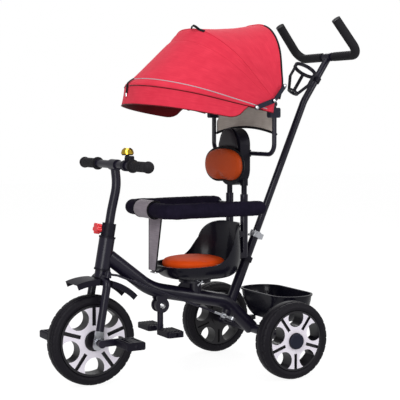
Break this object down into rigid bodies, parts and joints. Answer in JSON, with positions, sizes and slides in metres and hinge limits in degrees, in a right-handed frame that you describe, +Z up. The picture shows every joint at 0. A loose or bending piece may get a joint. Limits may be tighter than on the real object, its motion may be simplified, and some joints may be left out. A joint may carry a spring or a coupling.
{
  "type": "children's push tricycle",
  "caption": "Push tricycle for a small child: pedalled front wheel, turning bucket seat with guard ring, folding canopy, telescopic push pole that steers, and a rear bin.",
  "frame": {"origin": "on the floor under the middle of the tricycle's length and width", "axes": "+X forward, +Y to the rider's left, +Z up"},
  "size_m": [0.9294, 0.486, 1.0224],
  "materials": {
    "satin_black": "satin",
    "steel": "brushed",
    "black_plastic": "matte",
    "gloss_black": "gloss",
    "white_plastic": "satin",
    "tyre_rubber": "matte",
    "grip_rubber": "matte",
    "red_plastic": "gloss",
    "gold": "polished",
    "coral_cloth": "woven",
    "taupe_cloth": "woven",
    "orange_hide": "satin",
    "rust_hide": "satin",
    "charcoal_hide": "satin",
    "charcoal_foam": "matte",
    "strap_cloth": "woven"
  },
  "bodies": {
    "frame": {"main_frame": "satin_black", "headset_cups": "black_plastic", "rear_axle": "steel", "footrest_bracket": "satin_black", "rear_bin": "black_plastic"},
    "fork": {"fork": "satin_black", "mudguard": "black_plastic", "stem_collar": "black_plastic", "handlebar": "satin_black", "grip_left": "grip_rubber", "grip_right": "grip_rubber", "bell_base": "black_plastic", "bell_dome": "gold"},
    "clamp_knob": {"clamp_knob": "red_plastic"},
    "bell_lever": {"bell_lever": "black_plastic"},
    "front_wheel": {"front_tyre": "tyre_rubber", "front_wheel": "white_plastic", "crank": "satin_black"},
    "pedal_left": {"pedal_left": "black_plastic"},
    "pedal_right": {"pedal_right": "black_plastic"},
    "rear_left": {"rear_left_tyre": "tyre_rubber", "rear_left_wheel": "white_plastic", "rear_left_cap": "gloss_black"},
    "rear_right": {"rear_right_tyre": "tyre_rubber", "rear_right_wheel": "white_plastic", "rear_right_cap": "gloss_black"},
    "link": {"steering_rod": "satin_black"},
    "column": {"pole_lower": "satin_black", "pole_collar": "black_plastic", "pole_clamp": "steel"},
    "clamp_lever": {"clamp_lever": "black_plastic"},
    "push_pole": {"pole_upper": "satin_black", "push_grip_left": "grip_rubber", "push_grip_right": "grip_rubber", "bottle_cage": "black_plastic"},
    "footrest": {"footrest_post": "satin_black", "foot_pad_left": "black_plastic", "foot_pad_right": "black_plastic"},
    "seat": {"seat_shell": "gloss_black", "seat_cushion": "orange_hide", "back_posts": "satin_black", "guard_rail": "satin_black", "guard_pad": "charcoal_foam", "crotch_strap": "strap_cloth"},
    "swivel_lever": {"swivel_lever": "steel"},
    "backrest": {"back_shell": "black_plastic", "back_pad": "rust_hide", "headrest": "charcoal_hide", "canopy_hoop": "satin_black", "rear_panel": "taupe_cloth", "canopy_brackets": "black_plastic", "rear_bow": "satin_black", "canopy_cloth": "coral_cloth"},
    "canopy_middle": {"middle_bow": "satin_black"},
    "canopy_front": {"front_bow": "satin_black", "canopy_visor": "coral_cloth"},
    "stay_rear": {"stay_rear_links": "black_plastic"},
    "stay_front": {"stay_front_links": "black_plastic"}
  },
  "joints": [
    {"name": "steering", "type": "hinge", "parent": "frame", "child": "fork", "pos_m": [0.33975, 0, 0.125], "axis": [-0.1771, 0, 0.9842], "range_deg": [-35, 35]},
    {"name": "front_wheel_spin", "type": "hinge", "parent": "fork", "child": "front_wheel", "pos_m": [0.33975, 0, 0.125], "axis": [0, 1, 0], "continuous": true},
    {"name": "pedal_left_spin", "type": "hinge", "parent": "front_wheel", "child": "pedal_left", "pos_m": [0.27375, 0.109, 0.125], "axis": [0, 1, 0], "continuous": true},
    {"name": "pedal_right_spin", "type": "hinge", "parent": "front_wheel", "child": "pedal_right", "pos_m": [0.40575, -0.109, 0.125], "axis": [0, 1, 0], "continuous": true},
    {"name": "rear_left_spin", "type": "hinge", "parent": "frame", "child": "rear_left", "pos_m": [-0.17725, 0.211, 0.11], "axis": [0, 1, 0], "continuous": true},
    {"name": "rear_right_spin", "type": "hinge", "parent": "frame", "child": "rear_right", "pos_m": [-0.17725, -0.211, 0.11], "axis": [0, 1, 0], "continuous": true},
    {"name": "clamp_knob_turn", "type": "hinge", "parent": "fork", "child": "clamp_knob", "pos_m": [0.3119, 0, 0.42887], "axis": [0.9842, 0, 0.1771], "continuous": true},
    {"name": "bell_lever_push", "type": "hinge", "parent": "fork", "child": "bell_lever", "pos_m": [0.26175, 0.072, 0.6244], "axis": [0, 0, 1], "range_deg": [0, 25], "stiffness_Nm_per_rad": 0.05},
    {"name": "link_swing", "type": "hinge", "parent": "fork", "child": "link", "pos_m": [0.30686, 0.042, 0.30777], "axis": [-0.1763, 0.023, 0.9841], "range_deg": [-40, 40]},
    {"name": "pole_turn", "type": "hinge", "parent": "frame", "child": "column", "pos_m": [-0.10725, 0, 0.1975], "axis": [-0.4003, 0, 0.9164], "range_deg": [-40, 40]},
    {"name": "push_slide", "type": "slide", "parent": "column", "child": "push_pole", "axis": [-0.4003, 0, 0.9164], "range_m": [-0.09, 0]},
    {"name": "clamp_lever_open", "type": "hinge", "parent": "column", "child": "clamp_lever", "pos_m": [-0.20845, -0.0165, 0.37918], "axis": [0.4003, 0, -0.9164], "range_deg": [0, 100]},
    {"name": "footrest_fold", "type": "hinge", "parent": "frame", "child": "footrest", "pos_m": [0.12675, 0, 0.203], "axis": [0, 1, 0], "range_deg": [0, 60]},
    {"name": "seat_swivel", "type": "hinge", "parent": "frame", "child": "seat", "pos_m": [0.01475, 0, 0.27], "axis": [0, 0, 1], "range_deg": [0, 180]},
    {"name": "swivel_lever_lift", "type": "hinge", "parent": "seat", "child": "swivel_lever", "pos_m": [0.03475, 0.04, 0.272], "axis": [0, -1, 0], "range_deg": [0, 15]},
    {"name": "backrest_slide", "type": "slide", "parent": "seat", "child": "backrest", "axis": [0, 0, 1], "range_m": [0, 0.03]},
    {"name": "canopy_fold", "type": "hinge", "parent": "backrest", "child": "canopy_front", "pos_m": [-0.14225, 0, 0.768], "axis": [0, -1, 0], "range_deg": [0, 80], "deforming": ["canopy_cloth"]},
    {"name": "middle_fold", "type": "hinge", "parent": "backrest", "child": "canopy_middle", "pos_m": [-0.14225, 0, 0.768], "axis": [0, -1, 0], "range_deg": [0, 44]},
    {"name": "stay_rear_swing", "type": "hinge", "parent": "backrest", "child": "stay_rear", "pos_m": [-0.16125, 0, 0.818], "axis": [0, -1, 0], "range_deg": [-6, 1]},
    {"name": "stay_front_swing", "type": "hinge", "parent": "stay_rear", "child": "stay_front", "pos_m": [-0.12725, 0, 0.777], "axis": [0, -1, 0], "range_deg": [-1, 108]}
  ],
  "couplings": [
    {"joint": "link_swing", "follows": "steering", "ratio": -1},
    {"joint": "pole_turn", "follows": "steering", "ratio": 0.9775},
    {"joint": "middle_fold", "follows": "canopy_fold", "ratio": 0.54},
    {"joint": "stay_rear_swing", "follows": "canopy_fold", "ratio": -0.053},
    {"joint": "stay_front_swing", "follows": "canopy_fold", "ratio": 1.309}
  ]
}
